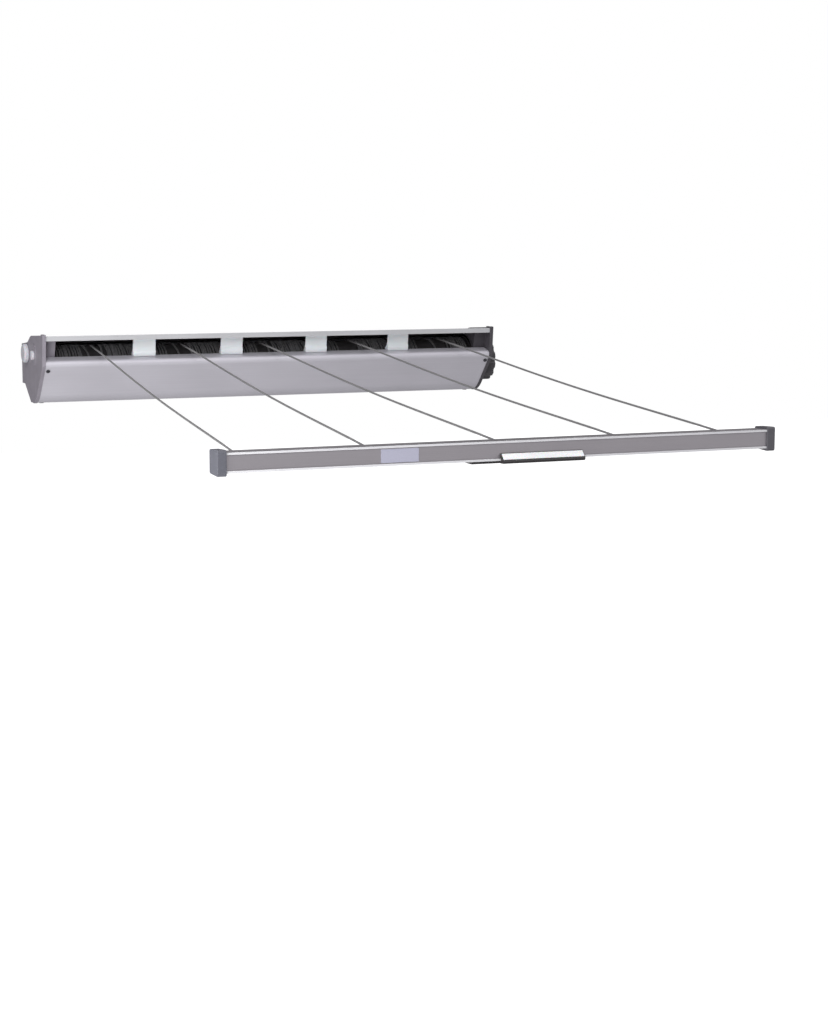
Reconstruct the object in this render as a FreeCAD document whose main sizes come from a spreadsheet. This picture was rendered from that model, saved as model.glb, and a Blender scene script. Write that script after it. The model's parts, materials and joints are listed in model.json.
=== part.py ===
import FreeCAD, Part
import math
import os
from types import SimpleNamespace

import Sketcher

# Wall-hung retractable clothesline: a long cabinet with a sprung roller that winds up five cords,
# and a front bar that carries the far ends of the cords.
# Frame: +X along the cabinet to the right, +Y into the wall, +Z up, millimetres.
# Origin: on the wall plane, midway between the end caps, at mid height of the wall face.
# The front bar is modelled drawn out to drying distance, which is the rest pose.

DIMENSIONS = {
    # cabinet section, as depths in front of the wall and heights above the origin
    "inner_length": 784.4,
    "cabinet_depth": 156.6,
    "rail_top": 52,
    "rail_height": 8,
    "roof_depth": 66,
    "roof_height": 46.5,
    "shoulder_depth": 44,
    "shoulder_height": 35,
    "back_gap": 3,
    "back_half_height": 31,
    "heel_depth": 18,
    "belly_depth": 60,
    "belly_drop": 60,
    "panel_foot_depth": 86,
    "lip_depth": 132,
    "lip_height": 17,
    "fold_start_depth": 149.2,
    "fold_start_height": 12.7,
    "fold_radius": 7,
    "fold_end_depth": 152.7,
    "fold_end_height": 1.3,
    "curl_depth": 112,
    "curl_drop": 44.5,
    "curl_radius": 49.8,
    "casing_wall": 2,
    "panel_wall": 1.8,
    # spacers that bridge the slot
    "spacer_width": 37.8,
    "spacer_depth": 144,
    # end caps
    "cap_wall": 4.2,
    "cap_depth": 159.5,
    "cap_top": 54.4,
    "cap_proud": 0.8,
    "cap_brow_depth": 141,
    "cap_brow_height": 52.6,
    "cap_cheek_depth": 155.3,
    "cap_cheek_height": 6.4,
    "rim_width": 6,
    "rim_rise": 1.4,
    "cap_round": 40,
    "cap_back_top": 32.5,
    "cap_back_bottom": 33,
    "plug_length": 20.2,
    "plug_gap": 0.5,
    "plug_bore": 45.5,
    "boss_length": 6.2,
    "axle_boss_radius": 10,
    "button_boss_radius": 10.5,
    "pin_boss_radius": 5,
    "stub_boss_radius": 14,
    # roller
    "axis_depth": 86,
    "axis_drop": 7,
    "spool_pitch": 150,
    "spool_length": 148,
    "spool_radius": 37.5,
    "flange_radius": 41.7,
    "flange_wall": 2.5,
    "tube_radius": 15,
    "tube_wall": 2,
    "axle_radius": 5,
    "stub_radius": 8,
    "web_hole_radius": 6,
    "web_hole_circle": 25,
    "tube_plug_rim": 20,
    "tube_plug_depth": 20,
    "running_gap": 0.05,
    "spring_radius": 9,
    "spring_wire": 1.1,
    "spring_pitch": 5,
    "spring_length": 150,
    # hand wheel outside the right cap
    "wheel_radius": 36,
    "wheel_length": 22,
    "wheel_gap": 2,
    "scallop_radius": 7,
    "scallop_count": 12,
    "wheel_seat": 13.6,
    "wheel_screw_radius": 2.4,
    "wheel_screw_head": 9,
    # lock inside the left cap
    "ratchet_radius": 17,
    "ratchet_depth": 1.3,
    "ratchet_teeth": 20,
    "ratchet_width": 6,
    "button_depth": 88,
    "button_height": 18,
    "button_radius": 7.5,
    "button_stand_out": 5,
    "button_stem": 3,
    "button_dish": 18,
    "pivot_depth": 62,
    "pivot_height": 16,
    "pin_radius": 2.5,
    # knobs that clamp the cabinet to its wall brackets
    "knob_depth": 40,
    "knob_height": 18.5,
    "knob_radius": 15.5,
    "knob_stand_out": 7.2,
    "knob_stem": 4,
    "bracket_wall": 2.5,
    "bracket_width": 60,
    "bracket_half_height": 24,
    "bracket_reach": 30,
    "ear_tip_reach": 49,
    "ear_tip_bottom": 9.5,
    "wall_screw_radius": 2.75,
    "wall_screw_spacing": 36,
    # screws
    "panel_screw_radius": 1.6,
    "panel_screw_inset": 5,
    "panel_screw_drop": 5.5,
    "belly_screw_radius": 1.9,
    # front bar, drawn out
    "bar_length": 766,
    "bar_shift": 1.5,
    "bar_front": 1054.5,
    "bar_drop": 55.4,
    "bar_depth": 26,
    "bar_height": 25.4,
    "bar_wall": 1.6,
    "bar_rib": 2.8,
    "bar_recess": 1.2,
    "bar_cap_length": 11.8,
    "bar_cap_depth": 33,
    "bar_cap_height": 33,
    "bar_cap_back_height": 30,
    "bar_plug_length": 18,
    "plate_length": 51,
    "plate_start": -179,
    "plate_wall": 0.6,
    "plate_margin": 1.2,
    # pull handle under the bar
    "handle_start": -54,
    "handle_length": 160,
    "handle_foot": 3.2,
    "handle_screw_radius": 1.5,
    "grip_start": -14.5,
    "grip_length": 118,
    "grip_gap": 0.3,
    "grip_reach": 8,
    "grip_high": 9.6,
    "grip_low": 1.4,
    "grip_top_wall": 0.75,
    # cords
    "cord_radius": 1.5,
    "bush_radius": 3,
    "bush_bore": 2.5,
    "bush_flange": 4.5,
    "stop_radius": 3.2,
    "cord_spacing": 176,
    "cord_lean": 5.25,
    "turn_width": 3.2,
}
SPOOLS = (1, 2, 3, 4, 5)
# How far each cord leaves its drum to the right of the spool's middle.
EXIT_SHIFTS = (-2, 1, -12, 2, 18)
# How far each cord's hole in the bar stands to the right of its even spacing.
HOLE_SHIFTS = (-2, 0, 12, 14, 0)
SIDES = (-1, 1)
SHEET = "Sizes"
X_AXIS = FreeCAD.Vector(1, 0, 0)
INTO_WALL = FreeCAD.Vector(0, 1, 0)
Z_AXIS = FreeCAD.Vector(0, 0, 1)
ALONG_X = FreeCAD.Rotation(Z_AXIS, X_AXIS)
HALF_TURN = FreeCAD.Rotation(Z_AXIS, 180)


class Size:
    """A length worked out from the sheet: its value, and the expression that binds it there."""

    def __init__(self, value, text):
        self.value = value
        self.text = text

    def joined(self, other, sign, value):
        return Size(value, f"({self.text} {sign} {as_size(other).text})")

    def __add__(self, other):
        return self.joined(other, "+", self.value + as_size(other).value)

    def __sub__(self, other):
        return self.joined(other, "-", self.value - as_size(other).value)

    def __mul__(self, other):
        return self.joined(other, "*", self.value * as_size(other).value)

    def __truediv__(self, other):
        return self.joined(other, "/", self.value / as_size(other).value)

    def __radd__(self, other):
        return as_size(other) + self

    def __rsub__(self, other):
        return as_size(other) - self

    def __rmul__(self, other):
        return as_size(other) * self

    def __neg__(self):
        return as_size(0) - self


def as_size(number):
    """A Size as it is, or a plain number as a Size."""
    if isinstance(number, Size):
        return number
    return Size(float(number), f"({number:.9g})")


def root(size):
    return Size(math.sqrt(size.value), f"sqrt({size.text})")


doc = FreeCAD.newDocument("retractable_clothesline")


def make_sheet():
    """Writes the driving dimensions in a spreadsheet and returns them as Sizes by name."""
    sheet = doc.addObject("Spreadsheet::Sheet", SHEET)
    for row, (name, value) in enumerate(DIMENSIONS.items(), start=1):
        sheet.set(f"A{row}", name)
        sheet.set(f"B{row}", str(value))
        sheet.setAlias(f"B{row}", name)
    doc.recompute()
    return SimpleNamespace(**{n: Size(float(v), f"{SHEET}.{n}") for n, v in DIMENSIONS.items()})


dim = make_sheet()
cap_face = dim.inner_length / 2
cap_outside = cap_face + dim.cap_wall
axis_y = -dim.axis_depth
axis_z = -dim.axis_drop
nodes = []


# ---- helpers -------------------------------------------------------------------------------


def bind(thing, **properties):
    """Binds each named property to a Size."""
    for name, size in properties.items():
        thing.setExpression(name, as_size(size).text)


def place(thing, x=0, y=0, z=0, rotation=None):
    """Turns a thing, and binds the place of its origin to the sheet."""
    thing.Placement = FreeCAD.Placement(FreeCAD.Vector(), rotation or FreeCAD.Rotation())
    for letter, size in zip("xyz", (x, y, z)):
        thing.setExpression(f"Placement.Base.{letter}", as_size(size).text)
    return thing


def node(thing, label):
    """Names a finished sub-part and keeps it for the export."""
    thing.Label = label
    nodes.append(thing)
    return thing


def new_sketch(body, role, offset=0):
    """A sketch on one of its body's own origin planes, moved along the plane's normal."""
    sketch = body.newObject("Sketcher::SketchObject", f"{body.Name}_sketch")
    plane = next(f for f in body.Origin.OriginFeatures if f.Role == role)
    sketch.AttachmentSupport = [(plane, "")]
    sketch.MapMode = "FlatFace"
    sketch.setExpression("AttachmentOffset.Base.z", as_size(offset).text)
    return sketch


def arc_between(start, end, radius):
    """The arc from start to end, counter-clockwise for a positive radius, and its centre."""
    half = (end - start) / 2
    height = math.sqrt(radius**2 - half.Length**2)
    side = FreeCAD.Vector(-half.y, half.x, 0).normalize() * math.copysign(height, radius)
    centre = start + half + side
    first, last = (start, end) if radius > 0 else (end, start)
    angles = [math.atan2(p.y - centre.y, p.x - centre.x) for p in (first, last)]
    circle = Part.Circle(centre, Z_AXIS, abs(radius))
    return Part.ArcOfCircle(circle, *angles), centre


def draw(sketch, corners):
    """Draws a closed loop. A corner is (across, up), or (across, up, radius) where an arc leaves it."""
    corners = [[as_size(c) for c in corner] for corner in corners]
    points = [FreeCAD.Vector(c[0].value, c[1].value, 0) for c in corners]
    first = sketch.GeometryCount
    starts, ends = [], []
    for i, corner in enumerate(corners):
        start, end = points[i], points[(i + 1) % len(points)]
        forward = True
        if len(corner) == 3:
            arc, _ = arc_between(start, end, corner[2].value)
            sketch.addGeometry(arc)
            forward = corner[2].value > 0
            number = sketch.addConstraint(
                Sketcher.Constraint("Radius", first + i, abs(corner[2].value))
            )
            sketch.setExpression(
                f"Constraints[{number}]", (corner[2] if forward else -corner[2]).text
            )
        else:
            sketch.addGeometry(Part.LineSegment(start, end))
        starts.append((first + i, 1 if forward else 2))
        ends.append((first + i, 2 if forward else 1))
    for i, corner in enumerate(corners):
        sketch.addConstraint(Sketcher.Constraint("Coincident", *ends[i - 1], *starts[i]))
        for kind, coordinate in zip(("DistanceX", "DistanceY"), corner):
            constraint = Sketcher.Constraint(kind, -1, 1, *starts[i], coordinate.value)
            number = sketch.addConstraint(constraint)
            sketch.setExpression(f"Constraints[{number}]", coordinate.text)


def extruded(name, corners, length, reverse=False):
    """A body with a (Y, Z) section drawn out along X."""
    body = doc.addObject("PartDesign::Body", name)
    sketch = new_sketch(body, "YZ_Plane")
    draw(sketch, corners)
    pad = body.newObject("PartDesign::Pad", f"{name}_pad")
    pad.Profile = sketch
    pad.Reversed = reverse
    bind(pad, Length=length)
    doc.recompute()
    return body


def turned(name, corners):
    """A body with an (X, radius) outline turned about the X axis."""
    body = doc.addObject("PartDesign::Body", name)
    sketch = new_sketch(body, "XY_Plane")
    draw(sketch, corners)
    revolution = body.newObject("PartDesign::Revolution", f"{name}_turn")
    revolution.Profile = sketch
    revolution.ReferenceAxis = (sketch, ["H_Axis"])
    revolution.Angle = 360
    return body


def round_edges(body, radius, *corners):
    """Rounds the edges that run along X through the given (Y, Z) corners of a body."""
    wanted = [(as_size(y).value, as_size(z).value) for y, z in corners]
    base = body.Tip
    names = []
    for number, edge in enumerate(base.Shape.Edges, start=1):
        ends = [(v.Point.y, v.Point.z) for v in edge.Vertexes]
        if any(all(math.dist(end, corner) < 0.01 for end in ends) for corner in wanted):
            names.append(f"Edge{number}")
    fillet = body.newObject("PartDesign::Fillet", f"{base.Name}_round")
    fillet.Base = (base, names)
    bind(fillet, Radius=radius)
    doc.recompute()
    return body


def rod(name, radius, length, x, y, z):
    """A plain cylinder along +X."""
    cylinder = doc.addObject("Part::Cylinder", name)
    bind(cylinder, Radius=radius, Height=length)
    return place(cylinder, x, y, z, ALONG_X)


def box(name, x, y, z, length, width, height):
    """A plain box with its low corner at x, y, z."""
    block = doc.addObject("Part::Box", name)
    bind(block, Length=length, Width=width, Height=height)
    return place(block, x, y, z)


def leaning_rod(name, radius, length, x, y, z, direction):
    """A cylinder that starts at a point and runs along any direction."""
    cylinder = doc.addObject("Part::Cylinder", name)
    bind(cylinder, Radius=radius, Height=length)
    return place(cylinder, x, y, z, FreeCAD.Rotation(Z_AXIS, direction))


def joined(name, *shapes):
    fusion = doc.addObject("Part::MultiFuse", name)
    fusion.Shapes = list(shapes)
    return fusion


def cut(name, base, *tools):
    """The base with every tool taken out of it, checked to have lost material to each one."""
    doc.recompute()
    result = base
    for number, tool in enumerate(tools, start=1):
        before = result.Shape.Volume
        taken = doc.addObject("Part::Cut", f"{name}_{number}")
        taken.Base = result
        taken.Tool = tool
        doc.recompute()
        if taken.Shape.Volume > before - 0.01:
            raise ValueError(f"{tool.Name} takes nothing out of {name}")
        result = taken
    return result


def group(name, *shapes):
    """Separate solids that share one node."""
    compound = doc.addObject("Part::Compound", name)
    compound.Links = list(shapes)
    return compound


def coil(name, radius, wire, pitch, length, x, y, z):
    """A round-wire spring along +X."""
    spine = doc.addObject("Part::Helix", f"{name}_spine")
    bind(spine, Radius=radius, Pitch=pitch, Height=length)
    place(spine, x, y, z, ALONG_X)
    section = doc.addObject("Part::Circle", f"{name}_section")
    bind(section, Radius=wire)
    upright = FreeCAD.Rotation(X_AXIS, 90)
    place(section, x, y, as_size(z) - radius, ALONG_X * upright)
    sweep = doc.addObject("Part::Sweep", name)
    sweep.Sections = [section]
    sweep.Spine = spine
    sweep.Solid = True
    sweep.Frenet = True
    return sweep


def tangents(corners):
    """The direction of travel on leaving and on arriving, for each side of an open path."""
    points = [FreeCAD.Vector(c[0].value, c[1].value, 0) for c in corners]
    leaving, arriving = [], []
    for start, end, corner in zip(points, points[1:], corners):
        chord = end - start
        turn = 0
        if len(corner) == 3:
            turn = math.degrees(math.asin(chord.Length / 2 / corner[2].value))
        leaving.append(FreeCAD.Rotation(Z_AXIS, -turn).multVec(chord).normalize())
        arriving.append(FreeCAD.Rotation(Z_AXIS, turn).multVec(chord).normalize())
    return leaving, arriving


def inset(path, distance):
    """An open path moved to its left by a distance, with its corners mitred."""
    corners = [[as_size(c) for c in corner] for corner in path]
    leaving, arriving = tangents(corners)
    moved = []
    for i, corner in enumerate(corners):
        before = arriving[i - 1] if i else leaving[0]
        after = leaving[i] if i < len(leaving) else arriving[-1]
        left = [FreeCAD.Vector(-d.y, d.x, 0) for d in (before, after)]
        step = (left[0] + left[1]) / (1 + left[0].dot(left[1]))
        point = [corner[0] + distance * step.x, corner[1] + distance * step.y]
        moved.append(point + [radius - distance for radius in corner[2:]])
    return moved


def sheet_loop(path, wall):
    """The closed section of a bent sheet that lies to the left of an open path."""
    inner = inset(path, wall)
    backwards = []
    for i in reversed(range(len(inner))):
        # an arc is listed at the corner it leaves, so going back it belongs to the next one
        arcs = [-radius for radius in inner[i - 1][2:]] if i else []
        backwards.append(inner[i][:2] + arcs)
    return list(path) + backwards


# ---- cabinet -------------------------------------------------------------------------------

foot = (-dim.panel_foot_depth, -dim.belly_drop)
casing_path = [
    (-dim.panel_foot_depth + dim.casing_wall, -dim.belly_drop),
    (-dim.belly_depth, -dim.belly_drop),
    (-dim.heel_depth, -dim.back_half_height),
    (-dim.back_gap, -dim.back_half_height),
    (-dim.back_gap, dim.back_half_height),
    (-dim.shoulder_depth, dim.shoulder_height),
    (-dim.roof_depth, dim.roof_height),
    (-dim.cabinet_depth, dim.rail_top),
    (-dim.cabinet_depth, dim.rail_top - dim.rail_height),
]
panel_path = [
    (-dim.lip_depth, dim.lip_height),
    (-dim.fold_start_depth, dim.fold_start_height, dim.fold_radius),
    (-dim.fold_end_depth, dim.fold_end_height),
    (-dim.curl_depth, -dim.curl_drop, dim.curl_radius),
    foot,
]
ear_x = cap_face - dim.plug_length - 1 - dim.bracket_wall
side_screw_x = cap_face - dim.plug_length / 2
belly_screw_y = -(dim.belly_depth + dim.panel_foot_depth) / 2
panel_screw_x = cap_face - dim.panel_screw_inset
# The panel's flat face leans back by this much from upright, and its screws stand square to it.
face_run = dim.fold_end_depth - dim.curl_depth
face_fall = dim.fold_end_height + dim.curl_drop
face_length = root(face_run * face_run + face_fall * face_fall)
screw_share = dim.panel_screw_drop / face_fall
panel_screw_y = -dim.fold_end_depth + face_run * screw_share
panel_screw_z = dim.fold_end_height - dim.panel_screw_drop
face_square_y = face_fall / face_length
face_square_z = face_run / face_length
panel_screw_in = FreeCAD.Vector(0, face_square_y.value, face_square_z.value)


def span(side, inner, length):
    """The low X of a stretch that starts this far from the middle and runs outward."""
    return inner if side > 0 else -(inner + length)


def casing_cuts():
    """Slots for the bracket ears in the back, and screw holes in the belly."""
    for side in SIDES:
        yield box(
            f"ear_slot_{side + 2}",
            span(side, ear_x - 0.5, dim.bracket_wall + 1),
            -dim.back_gap - dim.casing_wall - 1,
            -dim.bracket_half_height - 1,
            dim.bracket_wall + 1,
            dim.casing_wall + 2,
            dim.bracket_half_height * 2 + 2,
        )
        yield belly_rod(f"belly_hole_{side + 2}", side, dim.belly_screw_radius + 0.3, 3, -1)


def belly_rod(name, side, radius, length, rise):
    """An upright rod on a belly screw's axis, starting at a rise above the belly's outer face."""
    x = side_screw_x * side
    z = -dim.belly_drop + rise
    return leaning_rod(name, radius, length, x, belly_screw_y, z, Z_AXIS)


def panel_rod(name, side, radius, length, rise):
    """A rod on a panel screw's axis, running in from a rise above the panel's outer face."""
    y = panel_screw_y - face_square_y * rise
    z = panel_screw_z - face_square_z * rise
    return leaning_rod(name, radius, length, panel_screw_x * side, y, z, panel_screw_in)


def make_casing():
    """Bent roof, back and belly of the cabinet, open at the front."""
    section = sheet_loop(casing_path, dim.casing_wall)
    profile = place(extruded("casing_profile", section, dim.inner_length), -cap_face)
    node(cut("casing_cut", profile, *casing_cuts()), "casing")


def make_front_panel():
    """Folded front sheet, with the lip that the cords run over and a curled foot."""
    section = sheet_loop(panel_path, dim.panel_wall)
    profile = place(extruded("panel_profile", section, dim.inner_length), -cap_face)
    holes = [panel_rod(f"panel_hole_{s + 2}", s, dim.panel_screw_radius + 0.2, 4, 1) for s in SIDES]
    node(cut("panel_cut", profile, *holes), "front_panel")


def make_spacers():
    """Clip-in bridges between roof and lip that divide the slot into five mouths."""
    # each corner as a step behind the spacer's front line and a height above the lip's edge
    steps = [
        (-1.5, 32.2),
        (1.2, 27),
        (4.2, 10.5),
        (2.2, 6),
        (4.4, -1.6),
        (13, 0.6),
        (13, -6.5),
        (15.3, -6.5),
        (15.3, 3),
        (10, 7),
        (7.5, 13),
        (4.5, 26),
        (4.5, 31.7),
    ]
    section = [(y - dim.spacer_depth, z + dim.lip_height) for y, z in map(as_sizes, steps)]
    for number in (1, 2, 3, 4):
        spacer = extruded(f"spacer_{number}_body", section, dim.spacer_width)
        middle = dim.spool_pitch * (number - 2.5)
        node(place(spacer, middle - dim.spacer_width / 2), f"slot_spacer_{number}")


def as_sizes(numbers):
    return [as_size(n) for n in numbers]


# ---- end caps ------------------------------------------------------------------------------

cap_front = [
    (-dim.cap_cheek_depth, dim.cap_cheek_height, dim.fold_radius + dim.cap_proud),
    *inset(panel_path[2:], -dim.cap_proud),
]
cap_outline = [
    (-dim.belly_depth - 1, -dim.belly_drop - dim.cap_proud),
    (-dim.heel_depth - 1, -dim.cap_back_bottom),
    (as_size(0), -dim.cap_back_bottom),
    (as_size(0), dim.cap_back_top),
    (-dim.shoulder_depth, dim.shoulder_height + 1.6),
    (-dim.roof_depth, dim.roof_height + 2),
    (-dim.cap_brow_depth, dim.cap_brow_height),
    (-dim.cap_brow_depth - 1, dim.cap_top),
    (-dim.cap_depth, dim.cap_top - 0.4),
    *cap_front,
]


def plug_outline():
    """The section of the block that fills the cabinet's end, clear of its sheets."""
    clearance = dim.casing_wall + dim.plug_gap
    roof_front = (-dim.spacer_depth, dim.rail_top - 1)
    casing_side = inset([foot] + casing_path[1:7] + [roof_front], clearance)
    panel_side = inset(panel_path, dim.panel_wall + dim.plug_gap)
    slot_top = (-dim.spacer_depth + 3, casing_side[-1][1])
    lip_clear = (-dim.lip_depth + 1, dim.lip_height)
    return casing_side[:-1] + [slot_top, lip_clear, *panel_side[:-1]]


def cap_blank(side):
    """An end cap's outer plate with its raised rim and its block, built from the outside in."""
    name = "left" if side < 0 else "right"
    inward = side > 0
    plate = extruded(f"plate_{name}", cap_outline, dim.cap_wall, reverse=inward)
    round_edges(plate, 3, cap_outline[3])
    round_edges(plate, dim.cap_round, *cap_outline[4:6])
    rim_path = [cap_outline[8], *cap_front]
    rim_section = sheet_loop(rim_path, dim.rim_width)
    rim = extruded(f"rim_{name}", rim_section, dim.cap_wall + dim.rim_rise, reverse=inward)
    block = extruded(f"block_{name}", plug_outline(), dim.plug_length, reverse=inward)
    place(plate, cap_outside * side)
    place(rim, (cap_outside + dim.rim_rise) * side)
    place(block, cap_face * side)
    well = axis_rod(f"well_{name}", dim.plug_bore, side, cap_face - dim.plug_length, dim.plug_length)
    return joined(f"cap_blank_{name}", plate, rim, cut(f"block_cut_{name}", block, well))


def side_rod(name, radius, side, inner, length, y, z):
    """A rod along X at one end of the cabinet, from its inner end outward."""
    return rod(name, radius, length, span(side, inner, length), y, z)


def axis_rod(name, radius, side, inner, length):
    return side_rod(name, radius, side, inner, length, axis_y, axis_z)


button_y = -dim.button_depth
pivot_y = -dim.pivot_depth
knob_y = -dim.knob_depth
boss_inner = cap_face - dim.boss_length


def common_cap_cuts(side):
    """Holes that both end caps have: the knob's, and those for the sheet screws."""
    name = "left" if side < 0 else "right"
    depth = dim.cap_wall + dim.plug_length + 2
    start = cap_outside - depth + 1
    yield side_rod(
        f"knob_hole_{name}", dim.knob_stem + 0.1, side, start, depth, knob_y, dim.knob_height
    )
    yield panel_rod(f"panel_pilot_{name}", side, dim.panel_screw_radius + 0.02, 14, 0)
    yield belly_rod(f"belly_pilot_{name}", side, dim.belly_screw_radius + 0.02, 9, 0)


def make_left_cap():
    """Left cap: carries the fixed axle, the lock button and the pawl's pin."""
    bosses = [
        axis_rod("axle_boss", dim.axle_boss_radius, -1, boss_inner, dim.boss_length),
        side_rod(
            "button_boss",
            dim.button_boss_radius,
            -1,
            boss_inner,
            dim.boss_length,
            button_y,
            dim.button_height,
        ),
        side_rod(
            "pin_boss",
            dim.pin_boss_radius,
            -1,
            boss_inner,
            dim.boss_length,
            pivot_y,
            dim.pivot_height,
        ),
        side_rod("dish", dim.button_dish, -1, cap_outside, 1, button_y, dim.button_height),
    ]
    floor = 2
    bore_start = boss_inner + floor
    cuts = [
        axis_rod("axle_seat", dim.axle_radius + 0.02, -1, boss_inner, 8),
        side_rod(
            "button_bore",
            dim.button_radius + dim.running_gap,
            -1,
            bore_start,
            dim.boss_length + dim.cap_wall,
            button_y,
            dim.button_height,
        ),
        side_rod(
            "stem_bore",
            dim.button_stem + dim.running_gap,
            -1,
            boss_inner - 1,
            floor + 2,
            button_y,
            dim.button_height,
        ),
        side_rod(
            "pin_seat", dim.pin_radius + 0.02, -1, boss_inner, 6, pivot_y, dim.pivot_height
        ),
    ]
    blank = joined("left_cap_solid", cap_blank(-1), *bosses)
    node(cut("left_cap_cut", blank, *common_cap_cuts(-1), *cuts), "end_cap_left")


def make_right_cap():
    """Right cap: carries the roller's stub, which runs out through it to the hand wheel."""
    boss = axis_rod("stub_boss", dim.stub_boss_radius, 1, boss_inner, dim.boss_length)
    blank = joined("right_cap_solid", cap_blank(1), boss)
    depth = dim.boss_length + dim.cap_wall + 2
    bore = axis_rod("stub_bore", dim.stub_radius + dim.running_gap, 1, boss_inner - 1, depth)
    node(cut("right_cap_cut", blank, *common_cap_cuts(1), bore), "end_cap_right")


def make_sheet_screws():
    """Screws that hold the front panel and the casing to the blocks of the end caps."""
    panel_screws, belly_screws = [], []
    for side in SIDES:
        tag = side + 2
        head = panel_rod(f"panel_head_{tag}", side, dim.panel_screw_radius * 2, 1.6, 1.65)
        shank = panel_rod(f"panel_shank_{tag}", side, dim.panel_screw_radius, 12, 0.5)
        panel_screws.append(joined(f"panel_screw_{tag}", head, shank))
        head = belly_rod(f"belly_head_{tag}", side, dim.belly_screw_radius * 2, 1.6, -1.65)
        shank = belly_rod(f"belly_shank_{tag}", side, dim.belly_screw_radius, 8, -0.5)
        belly_screws.append(joined(f"belly_screw_{tag}", head, shank))
    node(group("panel_screw_pair", *panel_screws), "panel_screws")
    node(group("belly_screw_pair", *belly_screws), "casing_screws")


def make_brackets_and_knobs():
    """Angle brackets screwed to the wall, and the knobs that clamp the cabinet to their ears."""
    for side in SIDES:
        name = "left" if side < 0 else "right"
        plate_x = ear_x + dim.bracket_wall - dim.bracket_width
        tall = dim.bracket_half_height * 2
        plate = box(
            f"bracket_plate_{name}",
            span(side, plate_x, dim.bracket_width),
            -dim.bracket_wall,
            -dim.bracket_half_height,
            dim.bracket_width,
            dim.bracket_wall,
            tall,
        )
        ear = box(
            f"bracket_ear_{name}",
            span(side, ear_x, dim.bracket_wall),
            -dim.bracket_reach,
            -dim.bracket_half_height,
            dim.bracket_wall,
            dim.bracket_reach,
            tall,
        )
        tip = box(
            f"bracket_tip_{name}",
            span(side, ear_x, dim.bracket_wall),
            -dim.ear_tip_reach,
            dim.ear_tip_bottom,
            dim.bracket_wall,
            dim.ear_tip_reach,
            dim.bracket_half_height - dim.ear_tip_bottom,
        )
        holes = [
            side_rod(
                f"ear_hole_{name}",
                dim.knob_stem + dim.running_gap,
                side,
                ear_x - 1,
                dim.bracket_wall + 2,
                knob_y,
                dim.knob_height,
            )
        ]
        for hand in SIDES:
            x = (plate_x + dim.bracket_width / 2) * side + dim.wall_screw_spacing / 2 * hand
            holes.append(
                leaning_rod(
                    f"wall_hole_{name}_{hand + 2}",
                    dim.wall_screw_radius,
                    dim.bracket_wall + 2,
                    x,
                    -dim.bracket_wall - 1,
                    0,
                    INTO_WALL,
                )
            )
        bracket = cut(f"bracket_cut_{name}", joined(f"bracket_{name}", plate, ear, tip), *holes)
        node(bracket, f"wall_bracket_{name}")
        make_knob(side, name)


def make_knob(side, name):
    """A round knob on a plain stem, drawn from the middle of the cabinet outward."""
    stem_start = ear_x - 2
    face = cap_outside + 0.5
    top = face + dim.knob_stand_out
    outline = [
        (stem_start, as_size(0)),
        (top, as_size(0)),
        (top, dim.knob_radius - 2),
        (top - 2, dim.knob_radius),
        (face, dim.knob_radius),
        (face, dim.knob_stem),
        (stem_start, dim.knob_stem),
    ]
    knob = turned(f"knob_{name}", outline)
    place(knob, 0, knob_y, dim.knob_height, None if side > 0 else HALF_TURN)
    node(knob, f"bracket_knob_{name}")


# ---- roller --------------------------------------------------------------------------------


def ring(name, outer, inner, x, length):
    """A round collar about the roller's axis."""
    hole = rod(f"{name}_hole", inner, length + 2, as_size(x) - 1, axis_y, axis_z)
    return cut(f"{name}_ring", rod(f"{name}_disc", outer, length, x, axis_y, axis_z), hole)


def on_axis(body, x=0, rotation=None):
    return place(body, x, axis_y, axis_z, rotation)


tube_end = dim.inner_length / 2 - 17.2
tube_inside = dim.tube_radius - dim.tube_wall
spool_foot = dim.spool_radius - 2
coil_x = as_size(-30)


def make_axle():
    """Fixed rod from the left cap to the right end of the roller, with the spring's anchor."""
    start = -(boss_inner + 7.5)
    node(rod("axle_rod", dim.axle_radius, tube_end - start - 6, start, axis_y, axis_z), "axle")
    anchor = ring("anchor", tube_inside - 1.5, dim.axle_radius + 0.02, coil_x - 10, 8)
    node(anchor, "spring_anchor")


def make_return_spring():
    """Torsion spring between the fixed anchor and the hub that turns with the roller."""
    spring = coil(
        "return_coil",
        dim.spring_radius,
        dim.spring_wire,
        dim.spring_pitch,
        dim.spring_length,
        coil_x,
        axis_y,
        axis_z,
    )
    node(spring, "torsion_spring")
    bore = dim.axle_radius + dim.running_gap
    hub = ring("hub", tube_inside - 0.02, bore, coil_x + dim.spring_length + 2, 8)
    node(hub, "spring_hub")


def make_tube():
    tube = ring("tube", dim.tube_radius, tube_inside, -tube_end, tube_end * 2)
    node(tube, "roller_tube")


def make_spool(number):
    """One cord's drum: a hollow barrel with a flange at each end, on the roller tube."""
    half = dim.spool_length / 2
    rim = half - dim.flange_wall
    bore = dim.tube_radius + 0.02
    web = half - 3
    outline = [
        (-half, bore),
        (-web, bore),
        (-web, spool_foot),
        (web, spool_foot),
        (web, bore),
        (half, bore),
        (half, dim.flange_radius),
        (rim, dim.flange_radius),
        (rim, dim.spool_radius),
        (-rim, dim.spool_radius),
        (-rim, dim.flange_radius),
        (-half, dim.flange_radius),
    ]
    middle = dim.spool_pitch * (number - 3)
    drum = on_axis(turned(f"drum_{number}", outline), middle)
    holes = []
    for third in range(3):
        angle = math.tau * third / 3
        holes.append(
            rod(
                f"web_hole_{number}_{third}",
                dim.web_hole_radius,
                dim.spool_length + 2,
                middle - half - 1,
                axis_y + dim.web_hole_circle * math.cos(angle),
                axis_z + dim.web_hole_circle * math.sin(angle),
            )
        )
    node(cut(f"spool_{number}", drum, *holes), f"spool_{number}")


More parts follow.
